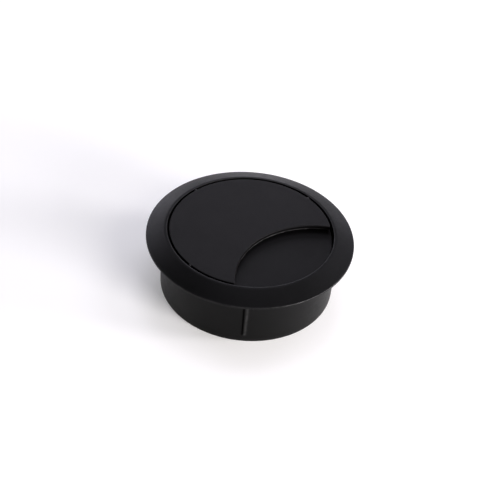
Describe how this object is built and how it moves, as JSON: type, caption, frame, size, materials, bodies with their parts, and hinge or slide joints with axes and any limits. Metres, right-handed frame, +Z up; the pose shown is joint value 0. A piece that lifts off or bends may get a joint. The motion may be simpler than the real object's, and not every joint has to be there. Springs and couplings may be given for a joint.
{
  "type": "desk grommet",
  "caption": "Round flanged cable grommet for a desk top: a liner, a plate pressed into it, and a turning cover whose lens-shaped cut-out opens or closes the cable way.",
  "frame": {"origin": "centre of the liner's lower edge, on the axis of the sleeve", "axes": "+Z up along the axis, out of the desk top; at rest the cover's cut-out faces -Y and the plate's faces +Y, which is closed"},
  "size_m": [0.07, 0.07, 0.0231],
  "materials": {
    "liner_plastic": "satin moulded, fine grain",
    "plate_plastic": "matt moulded, fine spark-eroded grain",
    "cover_plastic": "matt moulded, fine spark-eroded grain"
  },
  "bodies": {
    "liner": {"liner": "liner_plastic"},
    "cap": {"fixed_plate": "plate_plastic"},
    "cover": {"turning_cover": "cover_plastic"}
  },
  "joints": [
    {"name": "cap_lift", "type": "slide", "parent": "liner", "child": "cap", "axis": [0, 0, 1], "range_m": [0, 0.03]},
    {"name": "cover_turn", "type": "hinge", "parent": "cap", "child": "cover", "pos_m": [0, 0, 0.0206], "axis": [0, 0, 1], "continuous": true}
  ]
}
